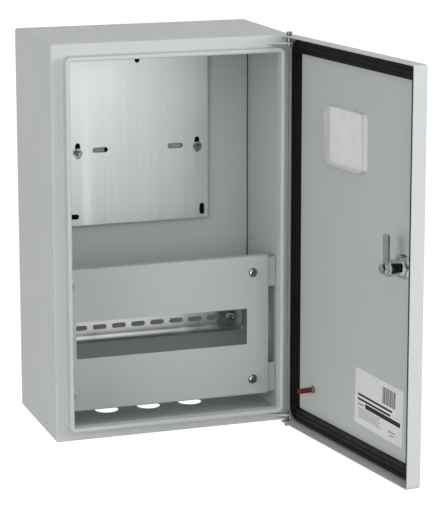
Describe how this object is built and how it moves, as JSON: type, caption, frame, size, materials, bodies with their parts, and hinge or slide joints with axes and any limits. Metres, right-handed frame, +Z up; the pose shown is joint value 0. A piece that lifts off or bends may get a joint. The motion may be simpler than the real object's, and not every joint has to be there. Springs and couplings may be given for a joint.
{
  "type": "electric meter box",
  "caption": "Wall-hung sheet-steel meter box with a hinged, gasketed, windowed door, meter panel, breaker cover and DIN rail.",
  "frame": {"origin": "centre of the four wall holes, on the rear face of the back panel", "axes": "+X to the right seen from the front, +Y into the wall, +Z up"},
  "size_m": [0.3436, 0.468, 0.4894],
  "materials": {
    "grey_paint": "light grey powder coat, fine texture, satin",
    "galvanised": "galvanised sheet with faint spangle",
    "zinc_hardware": "zinc plated",
    "lock_chrome": "bright nickel or chrome plate",
    "gasket_rubber": "black, slightly glossy",
    "window_plastic": "clear plastic",
    "red_plastic": "dark red soft plastic"
  },
  "bodies": {
    "cabinet": {"cabinet_shell": "grey_paint", "back_panel": "grey_paint", "breaker_cover": "grey_paint", "cover_bracket_upper_left": "grey_paint", "cover_bracket_upper_right": "grey_paint", "cover_bracket_lower_left": "grey_paint", "cover_bracket_lower_right": "grey_paint", "rail_bracket_left": "grey_paint", "rail_bracket_right": "grey_paint", "hinge_ear_upper": "grey_paint", "hinge_ear_lower": "grey_paint", "meter_panel": "galvanised", "din_rail": "galvanised", "meter_studs": "zinc_hardware", "meter_stud_washers": "zinc_hardware", "meter_stud_nuts": "zinc_hardware", "cover_screws": "zinc_hardware", "rail_screws": "zinc_hardware", "hinge_pin_upper": "zinc_hardware", "hinge_pin_lower": "zinc_hardware", "hinge_bush_upper": "zinc_hardware", "hinge_bush_lower": "zinc_hardware"},
    "door": {"door_shell": "grey_paint", "door_gasket": "gasket_rubber", "window": "window_plastic", "lock_housing": "lock_chrome", "lock_washer": "lock_chrome", "lock_nut": "lock_chrome", "earth_stud": "zinc_hardware", "earth_stud_cap": "red_plastic"},
    "lock_cam": {"lock_rotor": "lock_chrome", "cam_arm": "lock_chrome", "cam_bolt": "lock_chrome"}
  },
  "joints": [
    {"name": "door_hinge", "type": "hinge", "parent": "cabinet", "child": "door", "pos_m": [0.1423, -0.1657, 0], "axis": [0, 0, 1], "range_deg": [-97.8, 2]},
    {"name": "lock_turn", "type": "hinge", "parent": "door", "child": "lock_cam", "pos_m": [0.16524, -0.4157, 0.0075], "axis": [0.9907, 0.1357, 0], "range_deg": [0, 90]}
  ]
}
